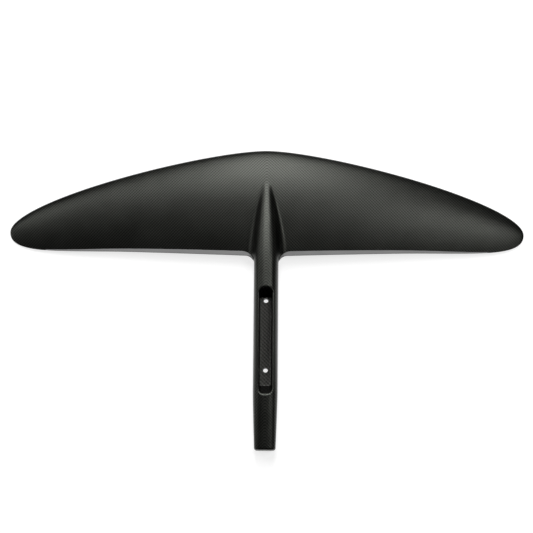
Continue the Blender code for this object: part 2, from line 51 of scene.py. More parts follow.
NOSE_CURVE = ((0.0, 0.0), (0.0783, 0.0), (HALF_SPAN, 0.0679), (HALF_SPAN, 0.1111))
TAIL_CURVE = ((0.1785, 0.1406), (0.2812, 0.1374), (HALF_SPAN, 0.1437), (HALF_SPAN, 0.1111))
STRIP_WIDTH = 0.0062
STRIP_FADE = 0.335
STRIP_FADE_POWER = 2.1
STRIP_END = 0.300
STRIP_ROOT = 0.0010
AEROFOIL = (0.2969, -0.1260, -0.3516, 0.2843, -0.1036)
STRETCH_START = 0.6
EDGE_BUILD_UP = 0.25
BODY_HALF_WIDTH = 0.0165
BODY_RISE = 0.023
BODY_POWER = 3.0
FLAT_DEPTH = 0.0025
CREST_STATION = 0.160
FULL_WIDTH_STATION = 0.150
BELLY_START, BELLY_END = 0.012, 0.120
TAPER_STATION = 0.330
TAIL_HALF_WIDTH = 0.0142
DECLINE_STATION = 0.270
TAIL_RISE = 0.011
TAPER_POWER = 1.3
SEAT_HEIGHT = 0.005
SEAT_RAMP = (0.338, 0.352)
SKIN_END = 0.4030
OUTER_FILLET = 0.0115
INNER_FILLET = 0.0166
FILLET_START = 0.030
WING_SKIN = 0.0013
BODY_SKIN = 0.0026
SKIN_STEP = (0.120, 0.154)
GAP = 0.0003
CORE_GAP = 0.0005
SOCKET_TOP = (0.1915, 0.3363)
SOCKET_FLOOR = (0.2015, 0.3209)
SOCKET_TOP_HALF_WIDTH = 0.0092
SOCKET_FLOOR_HALF_WIDTH = 0.0081
SOCKET_TOP_CORNER = 0.0078
SOCKET_FLOOR_CORNER = 0.0027
SOCKET_DEPTH = 0.026
LINER_WALL = 0.0012
LINER_FLOOR = 0.0015
BOLT_STATIONS = (0.2058, 0.2998)
BOLT_HOLE_RADIUS = 0.0033
SLEEVE_RADIUS = 0.0050
WASHER_RADIUS = 0.0075
WASHER_RIM = 0.0012
WASHER_TOP = 0.0036
COUNTERSINK_WIDTH = 0.0026
COUNTERSINK_TOP = 0.0028
FITTING_RECESS = 0.0002
MOUTH_LOW = 0.009
INSERT_STATIONS = (0.3640, 0.3900)
INSERT_RADIUS = 0.0040
INSERT_BORE = 0.0025
INSERT_LENGTH = 0.012
INSERT_ROOF = 0.0020
CAP_SPIGOT = 0.0020
SPIGOT_PLAY = 0.0008
CAP_ROUND = 0.0030
CAP_CROWN = 0.0002
CAP_FLAT = 0.55
CROWN = PARTING_HEIGHT + BODY_RISE
SOCKET_BED = CROWN - SOCKET_DEPTH
DROP = PARTING_HEIGHT - TIP_HEIGHT
HALVINGS = 34
SEARCH_REACH = 0.06

# Detail that only the looks have
# The socket's lip, as (distance out from the wall, depth under the skin's surface): a soft bevel
LIP_PROFILE = (
    (0.0, 0.0016),
    (0.0001, 0.0011),
    (0.0003, 0.0008),
    (0.0006, 0.00055),
    (0.0012, 0.00028),
    (0.0020, 0.00006),
)
FLOOR_FILLET = 0.0008
FLOOR_FILLET_ANGLES = (90.0, 72.0, 54.0, 36.0, 18.0, 0.0)
LINER_CHAMFER = 0.0006
BOUNDARY = 0.00015
STRIP_ROWS = (0.0, 0.2, 0.4, 0.6, 0.8, 0.93, 0.98, 1.0)
STRIP_ROUND_START = 0.9
STRIP_ROUND_SHARE = 0.3
STRIP_THINNEST = 0.4
FITTING_CHAMFER = 0.0003
# The grooves round a bonded insert, and its thread
GROOVE_START = 0.0015
GROOVE_MARGIN = 0.0022
GROOVE_DEPTH = 0.0004
GROOVE_SLOPE = 0.0002
GROOVE_WIDTH = 0.0010
GROOVE_SPACING = 0.0019
THREAD_PITCH = 0.0008
THREAD_DEPTH = 0.00025
# The tail's end face: rings from its rim to its middle, and how fast it swells
CAP_SHARES = (0.8, 0.6, 0.4, 0.2)
CAP_SWELL = 0.2

# How finely the shapes are drawn
TURN_STEPS = 72
RING_HALVINGS = 26
RING_REACH = 0.004
SLOPE_STEP = 0.0005
LONG_SIDE = 0.02
LONG_SIDE_POINTS = 42
# A cutter goes this far past the faces that it opens
CUT_MARGIN = 0.002
MOUTH_MARGIN = 0.006
CUTTER_FLARE = 0.0002
# Edges sharper than this, in degrees, stay sharp
LOFT_SMOOTHING = 40
TURNED_SMOOTHING = 32
CUT_SMOOTHING = 38

# The cloth: widths of its tows, and how much each set of tows shows
TOW_WIDTH = 0.00101
TRAY_TOW_WIDTH = 0.00125
SLEEVE_TOW_WIDTH = 0.0006
LAMINATE_TOW_WIDTH = 0.002
WARP_SHARE = 0.72
WEFT_SHARE = 0.28
UNDER_TONE = 0.08
TOW_EDGE_TONE = 0.35

# Camera: overhead and a little aft, with a long lens
CAMERA_TARGET = (0.0002, 0.0468, 0.001)
CAMERA_DISTANCE = 2.2
CAMERA_TILT = 10.0
CAMERA_SIDE = 0.5
CAMERA_ROLL = 0.46
VIEW_WIDTH = 0.7245
SENSOR = 36.0

# Softboxes: name, tilt to the right and forward, half angles across (all in degrees), brightness
LIGHT_DISTANCE = 3.0
SOFTBOXES = (
    ("key_low", 0.0, 23.0, (7.5, 7.5), 12.3),
    ("key_high", 0.0, 38.5, (7.5, 7.5), 15.0),
    ("key_far", 0.0, 54.0, (9.0, 7.5), 6.0),
    ("side", 23.0, 6.0, (5.0, 7.5), 12.0),
    ("fill_left", -34.0, 28.0, (12.0, 12.0), 3.0),
    ("fill_right", 42.0, -6.0, (9.0, 9.0), 1.3),
    ("low_left", -62.0, 12.0, (12.0, 12.0), 1.9),
)
WORLD_STRENGTH = 0.05
FLOOR_SIZE = 12.0
FLOOR_GREY = 0.35
FLOOR_GLOW = 0.77


# Shape of the part, as formulas


def smooth_step(value, low, high):
    t = np.clip((value - low) / (high - low), 0.0, 1.0)
    return t * t * (3.0 - 2.0 * t)


def curve_points(corners, count=240):
    t = np.linspace(0.0, 1.0, count)[:, None]
    p0, p1, p2, p3 = np.array(corners)
    u = 1.0 - t
    return u**3 * p0 + 3 * u**2 * t * p1 + 3 * u * t**2 * p2 + t**3 * p3


NOSE_POINTS = curve_points(NOSE_CURVE)
TAIL_POINTS = curve_points(TAIL_CURVE)


def nose_station(x):
    return np.interp(np.abs(x), NOSE_POINTS[:, 0], NOSE_POINTS[:, 1])


def edge_station(x):
    x = np.abs(x)
    start_x, start_station = TAIL_CURVE[0]
    straight = ROOT_CHORD + (start_station - ROOT_CHORD) * x / start_x
    return np.where(x < start_x, straight, np.interp(x, TAIL_POINTS[:, 0], TAIL_POINTS[:, 1]))


def corner_fillet(x, radius):
    out = np.clip(radius - (np.abs(x) - BODY_HALF_WIDTH), 0.0, radius)
    return radius - np.sqrt(radius**2 - out**2)


def strip_width(x):
    x = np.abs(x)
    width = STRIP_WIDTH * (1.0 - (x / STRIP_FADE) ** STRIP_FADE_POWER)
    return np.where(x > STRIP_END + GAP / 2, 0.0, width)


def skin_edge_station(x):
    return edge_station(x) - strip_width(x) + corner_fillet(x, INNER_FILLET)


def outer_edge_station(x):
    return edge_station(x) + corner_fillet(x, OUTER_FILLET)


CORNER_STATION = float(skin_edge_station(BODY_HALF_WIDTH))
FILLET_END = float(outer_edge_station(BODY_HALF_WIDTH))
ROOT_EDGE = FILLET_END - OUTER_FILLET


def parting_height(x):
    out = np.clip(np.abs(x) - BODY_HALF_WIDTH, 0.0, None) / (HALF_SPAN - BODY_HALF_WIDTH)
    return PARTING_HEIGHT - DROP * out**2


def wing_height(x, station, side):
    chord = np.maximum(edge_station(x) - nose_station(x), 1e-6)
    along = np.clip((station - nose_station(x)) / chord, 0.0, None)
    stretch = corner_fillet(x, OUTER_FILLET) / chord
    aft = np.clip((along - STRETCH_START) / (1.0 - STRETCH_START + stretch), 0.0, 1.0)
    s = np.clip(along - stretch * aft**2, 0.0, 1.0)
    terms = (np.sqrt(s), s, s**2, s**3, s**4)
    shape = sum(factor * term for factor, term in zip(AEROFOIL, terms))
    edge = EDGE_THICKNESS / 2 * np.minimum(s / EDGE_BUILD_UP, 1.0)
    camber = CAMBER_RATIO * chord * 4.0 * s * (1.0 - s)
    return 5.0 * THICKNESS_RATIO * chord * shape + edge + side * camber


def body_half_width(station):
    nose = BODY_HALF_WIDTH * np.sin(math.pi / 2 * np.clip(station / FULL_WIDTH_STATION, 0.0, 1.0))
    aft = np.clip((station - TAPER_STATION) / (LENGTH - TAPER_STATION), 0.0, 1.0)
    return nose - (BODY_HALF_WIDTH - TAIL_HALF_WIDTH) * aft**TAPER_POWER


def body_rise(station):
    nose = 1.0 - (1.0 - np.clip(station / CREST_STATION, 0.0, 1.0)) ** 2
    aft = np.clip((station - DECLINE_STATION) / (LENGTH - DECLINE_STATION), 0.0, 1.0)
    return BODY_RISE * nose - (BODY_RISE - TAIL_RISE) * aft**TAPER_POWER


def belly_height(station):
    nose = PARTING_HEIGHT * (1.0 - smooth_step(station, BELLY_START, BELLY_END))
    return nose + SEAT_HEIGHT * smooth_step(station, *SEAT_RAMP)


def skin_thickness(station):
    return WING_SKIN + (BODY_SKIN - WING_SKIN) * smooth_step(station, *SKIN_STEP)


def fillet_radius(station):
    growing = OUTER_FILLET * smooth_step(station, FILLET_START, ROOT_EDGE)
    left = np.clip(FILLET_END - station, 0.0, OUTER_FILLET)
    closing = OUTER_FILLET - np.sqrt(OUTER_FILLET**2 - left**2)
    return np.where(station < ROOT_EDGE, growing, closing)


def surface_depth(x, station, z, side):
    height = wing_height(x, station, side)
    slope = (wing_height(x, station + SLOPE_STEP, side) - height) / SLOPE_STEP
    wing = (side * (z - parting_height(x)) - height) / np.sqrt(1.0 + slope**2)
    if side > 0:
        reach = body_rise(station)
    else:
        reach = PARTING_HEIGHT - belly_height(station) + FLAT_DEPTH
    across = np.abs(x) / np.maximum(body_half_width(station), 1e-4)
    up = np.abs(z - PARTING_HEIGHT) / np.maximum(reach, 1e-4)
    ratio = np.maximum((across**BODY_POWER + up**BODY_POWER) ** (1.0 / BODY_POWER), 1e-6)
    body = (1.0 - 1.0 / ratio) * np.hypot(x, z - PARTING_HEIGHT)
    if side < 0:
        body = np.maximum(body, belly_height(station) - z)
    k = fillet_radius(station)
    round_part = np.hypot(np.maximum(k - wing, 0.0), np.maximum(k - body, 0.0))
    return np.maximum(k, np.minimum(wing, body)) - round_part


def surface(x, station, side, inset=0.0):
    x, station = np.broadcast_arrays(np.asarray(x, float), np.asarray(station, float))
    near = parting_height(x)
    far = near + side * SEARCH_REACH
    for _ in range(HALVINGS):
        middle = (near + far) / 2
        inside = surface_depth(x, station, middle, side) < -np.asarray(inset)
        near = np.where(inside, middle, near)
        far = np.where(inside, far, middle)
    return (near + far) / 2


def shell_height(x, station, side, inset=0.0):
    above = side * (surface(x, station, side, inset) - parting_height(x))
    return parting_height(x) + side * np.maximum(above, GAP / 2)


def place(x, station, z):
    x, station, z = np.broadcast_arrays(x, station, z)
    return np.stack([x, LENGTH / 2 - station, z], axis=-1)


# Mesh tools


def add_object(name, mesh, material=None):
    if material is not None:
        mesh.materials.append(material)
    obj = bpy.data.objects.new(name, mesh)
    bpy.context.scene.collection.objects.link(obj)
    return obj


def closed_mesh(name, points, faces, merge=1e-6):
    mesh = bpy.data.meshes.new(name)
    mesh.from_pydata([tuple(point) for point in points], [], faces)
    work = bmesh.new()
    work.from_mesh(mesh)
    bmesh.ops.remove_doubles(work, verts=work.verts, dist=merge)
    bmesh.ops.recalc_face_normals(work, faces=work.faces)
    if work.calc_volume(signed=True) < 0.0:
        bmesh.ops.reverse_faces(work, faces=work.faces)
    work.to_mesh(mesh)
    work.free()
    return mesh


def smooth(mesh, angle):
    mesh.shade_smooth()
    mesh.set_sharp_from_angle(angle=math.radians(angle))


def solid_between(name, first, second, cells, material):
    """A closed solid between two grids of points, over the grid's chosen cells."""
    rows, columns = first.shape[:2]
    total = rows * columns
    row, column = np.nonzero(cells)
    first_corner = row * columns + column
    corners = [first_corner + step for step in (0, columns, columns + 1, 1)]
    top = np.stack(corners, axis=1)
    low = top[:, ::-1] + total
    edges = zip(corners, corners[1:] + corners[:1])
    forward = np.concatenate([np.stack(edge, axis=1) for edge in edges])
    key = forward[:, 0] * total + forward[:, 1]
    back = forward[:, 1] * total + forward[:, 0]
    rim = forward[~np.isin(key, back)]
    side = np.stack([rim[:, 1], rim[:, 0], rim[:, 0] + total, rim[:, 1] + total], axis=1)
    faces = np.concatenate([top, low, side])
    used, index = np.unique(faces, return_inverse=True)
    points = np.concatenate([first.reshape(-1, 3), second.reshape(-1, 3)])[used]
    mesh = closed_mesh(name, points, index.reshape(faces.shape).tolist())
    smooth(mesh, LOFT_SMOOTHING)
    return add_object(name, mesh, material)


def ring_loft(name, rings):
    """A closed solid through rings of points, with a flat face at each end."""
    count = len(rings[0])
    faces = [tuple(range(count)), tuple((len(rings) - 1) * count + i for i in range(count))]
    for level in range(len(rings) - 1):
        for i in range(count):
            j = (i + 1) % count
            low = level * count
            faces.append((low + i, low + j, low + count + j, low + count + i))
    mesh = closed_mesh(name, np.concatenate(rings), faces)
    smooth(mesh, LOFT_SMOOTHING)
    return mesh


def turned(name, profile, station, material=None, closed=True):
    """A solid turned about the vertical axis through a station, from (radius, height) points."""
    angles = np.linspace(0.0, 2 * math.pi, TURN_STEPS, endpoint=False)
    points = [
        (radius * math.cos(angle), LENGTH / 2 - station + radius * math.sin(angle), height)
        for radius, height in profile
        for angle in angles
    ]
    faces = []
    last = len(profile) if closed else len(profile) - 1
    for level in range(last):
        low, high = level * TURN_STEPS, (level + 1) % len(profile) * TURN_STEPS
        for i in range(TURN_STEPS):
            j = (i + 1) % TURN_STEPS
            faces.append((low + i, low + j, high + j, high + i))
    mesh = closed_mesh(name, points, faces)
    work = bmesh.new()
    work.from_mesh(mesh)
    bmesh.ops.dissolve_degenerate(work, edges=work.edges, dist=1e-7)
    work.to_mesh(mesh)
    work.free()
    smooth(mesh, TURNED_SMOOTHING)
    return add_object(name, mesh, material)


def cut(obj, cutter):
    """Cuts the cutter's space out of the piece for good, and removes the cutter."""
    modifier = obj.modifiers.new("cut", "BOOLEAN")
    modifier.operation = "DIFFERENCE"
    modifier.solver = "EXACT"
    modifier.object = cutter
    graph = bpy.context.evaluated_depsgraph_get()
    mesh = bpy.data.meshes.new_from_object(obj.evaluated_get(graph))
    obj.modifiers.clear()
    obj.data = mesh
    bpy.data.objects.remove(cutter, do_unlink=True)
    smooth(mesh, CUT_SMOOTHING)


# Skins


def side_columns():
    """Distances from the centreline, close where the fuselage, its fillets and the tip curve."""
    turn = np.radians(np.linspace(90.0, 0.0, 31))
    body = BODY_HALF_WIDTH * np.cos(turn) ** (2.0 / BODY_POWER)
    corner = BODY_HALF_WIDTH + INNER_FILLET * (1.0 - np.cos(np.radians(np.linspace(5.0, 90.0, 18))))
    near = corner[-1] + np.linspace(0.0, 0.018, 13)[1:]
    wing = np.linspace(near[-1], STRIP_END, 66)[1:]
    tip = STRIP_END + GAP + (HALF_SPAN - STRIP_END - GAP) * np.sin(np.radians(np.linspace(0.0, 90.0, 26)))
    return np.concatenate([body, corner, near, wing, tip])


def both_sides(columns):
    return np.concatenate([-columns[:0:-1], columns])


def row_station(x, fraction):
    inner = np.abs(x) <= BODY_HALF_WIDTH + 1e-9
    edge = np.where(inner, CORNER_STATION, skin_edge_station(x))
    return nose_station(x) + fraction * (edge - nose_station(x))


WING_ROWS = (1.0 - np.cos(np.linspace(0.0, math.pi, 61))) / 2
BODY_ROWS = np.linspace(CORNER_STATION, SKIN_END, 112)[1:]


def skin_grid():
    columns = both_sides(side_columns())
    wing_station = row_station(columns, WING_ROWS[:, None])
    ratio = np.clip(columns / BODY_HALF_WIDTH, -1.0, 1.0)
    body_x = ratio * body_half_width(BODY_ROWS)[:, None]
    x = np.concatenate([np.broadcast_to(columns, wing_station.shape), body_x])
    station = np.concatenate([wing_station, np.broadcast_to(BODY_ROWS[:, None], body_x.shape)])
    inner = np.abs(columns) <= BODY_HALF_WIDTH + 1e-9
    cells = np.ones((len(x) - 1, len(columns) - 1), bool)
    cells[len(WING_ROWS) - 1 :] = inner[1:] & inner[:-1]
    return x, station, cells


def make_skin(name, side, material):
    x, station, cells = skin_grid()
    outer = place(x, station, shell_height(x, station, side))
    inner = place(x, station, shell_height(x, station, side, skin_thickness(station)))
    return solid_between(name, outer, inner, cells, material)


def make_strip(name, sign, material):
    near = BODY_HALF_WIDTH + STRIP_ROOT
    angles = np.radians(np.linspace(12.0, 90.0, 20))
    corner = near + (INNER_FILLET - STRIP_ROOT) * (1.0 - np.cos(angles))
    wing = np.linspace(corner[-1], STRIP_END, 60)[1:]
    x = np.concatenate([[near], corner, wing])
    front = skin_edge_station(x) + BOUNDARY
    back = outer_edge_station(x)
    rows = np.array(STRIP_ROWS)[:, None]
    station = front + rows * (back - front)
    past = np.clip((rows - STRIP_ROUND_START) / (1.0 - STRIP_ROUND_START), 0.0, None)
    round_off = past**2 * EDGE_THICKNESS * STRIP_ROUND_SHARE
    upper, lower = surface(x, station, 1), surface(x, station, -1)
    middle, half = (upper + lower) / 2, (upper - lower) / 2
    half = np.maximum(half - round_off, half * STRIP_THINNEST)
    above = place(sign * x, station, middle + half)
    below = place(sign * x, station, middle - half)
    return solid_between(name, above, below, np.ones((len(rows) - 1, len(x) - 1), bool), material)


# Socket


def slot_ring(ends, half_width, corner, grow=0.0, arc_steps=14):
    front, back = ends[0] - grow, ends[1] + grow
    half_width, corner = half_width + grow, corner + grow
    x, station = [], []
    for turn_index, (sign_x, sign_a) in enumerate(((1, 1), (-1, 1), (-1, -1), (1, -1))):
        centre_x = sign_x * (half_width - corner)
        centre_a = back - corner if sign_a > 0 else front + corner
        for step in range(arc_steps + 1):
            angle = math.pi / 2 * (turn_index + step / arc_steps)
            x.append(centre_x + corner * math.cos(angle))
            station.append(centre_a + corner * math.sin(angle))
    x, station = np.array(x), np.array(station)
    # The long sides get points of their own, so that a lip can follow the crown between the ends
    full_x, full_a = [], []
    for i in range(len(x)):
        j = (i + 1) % len(x)
        full_x.append(x[i])
        full_a.append(station[i])
        if abs(station[j] - station[i]) > LONG_SIDE:
            for share in np.linspace(0.0, 1.0, LONG_SIDE_POINTS)[1:-1]:
                full_x.append(x[i] + share * (x[j] - x[i]))
                full_a.append(station[i] + share * (station[j] - station[i]))
    return np.array(full_x), np.array(full_a)


def socket_ring(z, grow):
    low_x, low_a = slot_ring(SOCKET_FLOOR, SOCKET_FLOOR_HALF_WIDTH, SOCKET_FLOOR_CORNER, grow)
    high_x, high_a = slot_ring(SOCKET_TOP, SOCKET_TOP_HALF_WIDTH, SOCKET_TOP_CORNER, grow)
    share = (z - SOCKET_BED) / SOCKET_DEPTH
    return place(low_x + share * (high_x - low_x), low_a + share * (high_a - low_a), z)


def ring_below_surface(grow, depth, inset=0.0):
    """The ring in which the socket's wall, moved out by grow, lies at a depth under the top surface."""
    count = len(socket_ring(SOCKET_BED, grow))
    near, far = np.full(count, SOCKET_BED), np.full(count, CROWN + RING_REACH)
    for _ in range(RING_HALVINGS):
        middle = (near + far) / 2
        ring = socket_ring(middle, grow)
        inside = middle < surface(ring[:, 0], LENGTH / 2 - ring[:, 1], 1, inset) - depth
        near, far = np.where(inside, middle, near), np.where(inside, far, middle)
    return socket_ring(near, grow)


def lip_cutter():
    """The socket's space, flared at the top so that the mouth gets a rounded lip."""
    rings = [socket_ring(SOCKET_BED + MOUTH_LOW, 0.0)]
    for grow, depth in LIP_PROFILE:
        rings.append(ring_below_surface(grow, depth))
    last = rings[-1].copy()
    last[:, 2] = CROWN + MOUTH_MARGIN
    rings.append(last)
    return add_object("lip_cutter", ring_loft("lip_cutter", rings))


def make_liner(material):
    under = skin_thickness(LENGTH) + CORE_GAP
    rings = [socket_ring(SOCKET_BED - LINER_FLOOR, LINER_WALL - LINER_CHAMFER)]
    rings.append(socket_ring(SOCKET_BED - LINER_FLOOR + LINER_CHAMFER, LINER_WALL))
    rings.append(ring_below_surface(LINER_WALL, 0.0, under))
    rings.append(ring_below_surface(0.0, 0.0, under))
    for angle in np.radians(FLOOR_FILLET_ANGLES):
        z = SOCKET_BED + FLOOR_FILLET * (1.0 - math.cos(angle))
        rings.append(socket_ring(z, -FLOOR_FILLET * (1.0 - math.sin(angle))))
    liner = add_object("socket_tray", ring_loft("socket_tray", rings), material)
    top, low = SOCKET_BED + CUT_MARGIN, SOCKET_BED - LINER_FLOOR - CUT_MARGIN
    profile = (
        (0.0, top),
        (BOLT_HOLE_RADIUS + FITTING_CHAMFER + CUTTER_FLARE, top),
        (BOLT_HOLE_RADIUS + FITTING_CHAMFER, SOCKET_BED),
        (BOLT_HOLE_RADIUS, SOCKET_BED - FITTING_CHAMFER),
        (BOLT_HOLE_RADIUS, low),
        (0.0, low),
    )
    for station in BOLT_STATIONS:
        cut(liner, turned("hole_cutter", profile, station, closed=False))
    return liner


# Metal fittings and tail


def sleeve_profile():
    top = SOCKET_BED - LINER_FLOOR - GAP
    low = WASHER_TOP + GAP
    outer, inner, c = SLEEVE_RADIUS, BOLT_HOLE_RADIUS, FITTING_CHAMFER
    return (
        (outer, top - c),
        (outer, low + c),
        (outer - c, low),
        (inner + c, low),
        (inner, low + c),
        (inner, top - c),
        (inner + c, top),
        (outer - c, top),
    )


def washer_profile():
    rim, inner, c = WASHER_RADIUS, BOLT_HOLE_RADIUS, FITTING_CHAMFER
    return (
        (SLEEVE_RADIUS, WASHER_TOP),
        (rim, WASHER_RIM),
        (rim, FITTING_RECESS + c),
        (rim - c, FITTING_RECESS),
        (inner + COUNTERSINK_WIDTH + c, FITTING_RECESS),
        (inner + COUNTERSINK_WIDTH, FITTING_RECESS + c / 2),
        (inner + c / 2, COUNTERSINK_TOP - c / 2),
        (inner, COUNTERSINK_TOP + c / 2),
        (inner, WASHER_TOP),
    )


def make_bolt_fittings(carbon, steel):
    """(piece, node, slot) of each bolt's sleeve and cup washer."""
    made = []
    for name, station in zip(("front", "rear"), BOLT_STATIONS):
        sleeve = turned(name + "_sleeve", sleeve_profile(), station, carbon)
        made.append((sleeve, name + "_bolt_sleeve", "inner_carbon"))
        washer = turned(name + "_washer", washer_profile(), station, steel)
        made.append((washer, name + "_cup_washer", "stainless_steel"))
    return made


def insert_profile():
    """A blind threaded insert, grooved outside so that the adhesive holds it."""
    low, top = SEAT_HEIGHT + FITTING_RECESS, SEAT_HEIGHT + INSERT_LENGTH
    groove, c = INSERT_RADIUS - GROOVE_DEPTH, FITTING_CHAMFER
    profile = [(0.0, top), (INSERT_RADIUS - c, top), (INSERT_RADIUS, top - c)]
    z = top - GROOVE_START
    while z > low + GROOVE_MARGIN:
        profile += [(INSERT_RADIUS, z), (groove, z - GROOVE_SLOPE)]
        profile += [(groove, z - GROOVE_WIDTH + GROOVE_SLOPE), (INSERT_RADIUS, z - GROOVE_WIDTH)]
        z -= GROOVE_SPACING
    profile += [(INSERT_RADIUS, low + c), (INSERT_RADIUS - c, low)]
    profile += [(INSERT_BORE + c, low), (INSERT_BORE, low + c)]
    z = low + c
    while z < top - INSERT_ROOF - 2 * THREAD_PITCH:
        profile += [(INSERT_BORE + THREAD_DEPTH, z + THREAD_PITCH / 2), (INSERT_BORE, z + THREAD_PITCH)]
        z += THREAD_PITCH
    return profile + [(INSERT_BORE, top - INSERT_ROOF), (0.0, top - INSERT_ROOF)]


def make_inserts(brass):
    """(piece, node) of each insert."""
    made = []
    for name, station in zip(("front", "rear"), INSERT_STATIONS):
        insert = turned(name + "_insert", insert_profile(), station, brass, closed=False)
        made.append((insert, name + "_tail_insert"))
    return made


def body_ring(station, inset, count=48):
    angles = np.linspace(0.0, math.pi, count + 1)
    width = float(body_half_width(station)) - inset
    x = width * np.sign(np.cos(angles)) * np.abs(np.cos(angles)) ** (2.0 / BODY_POWER)
    back = x[-2:0:-1]
    above = surface(x, station, 1, inset)
    below = surface(back, station, -1, inset)
    return np.concatenate([place(x, station, above), place(back, station, below)])


def make_tail_cap(material):
    spigot = BODY_SKIN + SPIGOT_PLAY
    start, round_start = SKIN_END + GAP / 4, LENGTH - CAP_ROUND - CAP_CROWN
    low = SKIN_END + GAP - CAP_SPIGOT
    levels = [(low, spigot), (start, spigot), (start, 0.0)]
    levels += [(station, 0.0) for station in np.linspace(start, round_start, 4)[1:]]
    rings = [body_ring(station, inset) for station, inset in levels]
    last = rings[-1]
    middle = (last.max(axis=0) + last.min(axis=0)) / 2
    for angle in np.radians(np.linspace(10.0, 85.0, 9)):
        shrink = 1.0 - CAP_ROUND * (1.0 - math.cos(angle)) / TAIL_HALF_WIDTH
        ring = middle + (last - middle) * shrink
        ring[:, 1] = last[0, 1] - CAP_ROUND * math.sin(angle)
        rings.append(ring)
    edge = rings[-1]
    for share in CAP_SHARES:
        ring = middle + (last - middle) * CAP_FLAT * share / CAP_SHARES[0]
        swell = CAP_SWELL * (share - CAP_SHARES[-1])
        ring[:, 1] = -LENGTH / 2 + (edge[0, 1] + LENGTH / 2) * swell
        rings.append(ring)
    return add_object("tail_plug", ring_loft("tail_plug", rings), material)


# Materials


class Nodes:
    """Short names for making a material's nodes."""

    def __init__(self, name):
        self.material = bpy.data.materials.new(name)
        self.material.use_nodes = True
        self.tree = self.material.node_tree
        self.shader = self.tree.nodes["Principled BSDF"]

    def link(self, source, target):
        self.tree.links.new(source, target)

    def fill(self, node, values):
        for socket, value in zip(node.inputs, values):
            if value is None:
                continue
            if isinstance(value, bpy.types.NodeSocket):
                self.link(value, socket)
            else:
                socket.default_value = value

    def math(self, operation, *values):
        node = self.tree.nodes.new("ShaderNodeMath")
        node.operation = operation
        self.fill(node, values)
        return node.outputs[0]

    def position(self):
        coordinates = self.tree.nodes.new("ShaderNodeTexCoord")
        split = self.tree.nodes.new("ShaderNodeSeparateXYZ")
        self.link(coordinates.outputs["Object"], split.inputs[0])
        return coordinates.outputs["Object"], split.outputs

    def stretched(self, vector, scale):
        node = self.tree.nodes.new("ShaderNodeVectorMath")
        node.operation = "MULTIPLY"
        self.link(vector, node.inputs[0])
        node.inputs[1].default_value = scale
        return node.outputs[0]

    def noise(self, vector, scale, detail=2.0, roughness=0.5):
        node = self.tree.nodes.new("ShaderNodeTexNoise")
        self.link(vector, node.inputs["Vector"])
        node.inputs["Scale"].default_value = scale
        node.inputs["Detail"].default_value = detail
        node.inputs["Roughness"].default_value = roughness
        return node.outputs["Fac"]

    def spread(self, value, low, high, to_low, to_high):
        node = self.tree.nodes.new("ShaderNodeMapRange")
        self.fill(node, (value, low, high, to_low, to_high))
        return node.outputs[0]

    def colours(self, factor, first, second):
        node = self.tree.nodes.new("ShaderNodeMix")
        node.data_type = "RGBA"
        self.link(factor, node.inputs["Factor"])
        node.inputs["A"].default_value = (*first, 1.0)
        node.inputs["B"].default_value = (*second, 1.0)
        return node.outputs["Result"]

    def bump(self, height, strength, distance):
        node = self.tree.nodes.new("ShaderNodeBump")
        node.inputs["Strength"].default_value = strength
        node.inputs["Distance"].default_value = distance
        self.link(height, node.inputs["Height"])
        self.link(node.outputs[0], self.shader.inputs["Normal"])

    def set(self, **values):
        for name, value in values.items():
            socket = self.shader.inputs[name.replace("_", " ")]
            if isinstance(value, bpy.types.NodeSocket):
                self.link(value, socket)
            else:
                socket.default_value = value


def twill(nodes, width, mirrored=True):
    """(place, warp on top, weft's floats, height of the tow) of a two-over-two twill of tows this wide."""
    vector, (x, y, z) = nodes.position()
    if mirrored:
        x = nodes.math("ABSOLUTE", x)
    u = nodes.math("DIVIDE", x, width)
    v = nodes.math("DIVIDE", y, width)
    cells = nodes.math("ADD", nodes.math("FLOOR", u), nodes.math("FLOOR", v))
    warp = nodes.math("LESS_THAN", nodes.math("FLOORED_MODULO", cells, 4.0), 1.5)
    other = nodes.math("SUBTRACT", nodes.math("FLOOR", u), nodes.math("FLOOR", v))
    weft = nodes.math("LESS_THAN", nodes.math("FLOORED_MODULO", other, 4.0), 1.5)
    across_u = nodes.math("SUBTRACT", nodes.math("FRACT", u), 0.5)
    across_v = nodes.math("SUBTRACT", nodes.math("FRACT", v), 0.5)
    pick = nodes.tree.nodes.new("ShaderNodeMix")
    nodes.link(warp, pick.inputs["Factor"])
    nodes.link(across_v, pick.inputs["A"])
    nodes.link(across_u, pick.inputs["B"])
    offset = pick.outputs["Result"]
    square = nodes.math("MULTIPLY", offset, offset)
    height = nodes.math("SUBTRACT", 1.0, nodes.math("MULTIPLY", square, 4.0))
    return vector, warp, weft, height


def carbon_material(name, dark, light, roughness, width=TOW_WIDTH, mirrored=True, relief=0.12):
    """Fibres under a satin resin: a dark metal, in which each tow catches the light its own way."""
    nodes = Nodes(name)
    vector, warp, weft, height = twill(nodes, width, mirrored)
    # the weft's own floats show faintly, along the other diagonal
    shares = nodes.math("MULTIPLY", warp, WARP_SHARE), nodes.math("MULTIPLY", weft, WEFT_SHARE)
    pattern = nodes.math("ADD", *shares)
    cloud = nodes.noise(vector, 26.0, 3.0)
    across = nodes.spread(height, 0.0, 1.0, TOW_EDGE_TONE, 1.0)
    face = nodes.math("MULTIPLY", across, nodes.spread(pattern, 0.0, 1.0, UNDER_TONE, 1.0))
    tone = nodes.math("MULTIPLY", face, nodes.spread(cloud, 0.3, 0.7, 0.88, 1.12))
    rough = nodes.spread(cloud, 0.3, 0.7, roughness - 0.02, roughness + 0.02)
    nodes.set(
        Base_Color=nodes.colours(tone, dark, light),
        Metallic=1.0,
        Roughness=nodes.math("ADD", rough, nodes.spread(warp, 0.0, 1.0, -0.03, 0.03)),
    )
    nodes.bump(height, relief, 0.0001)
    return nodes.material


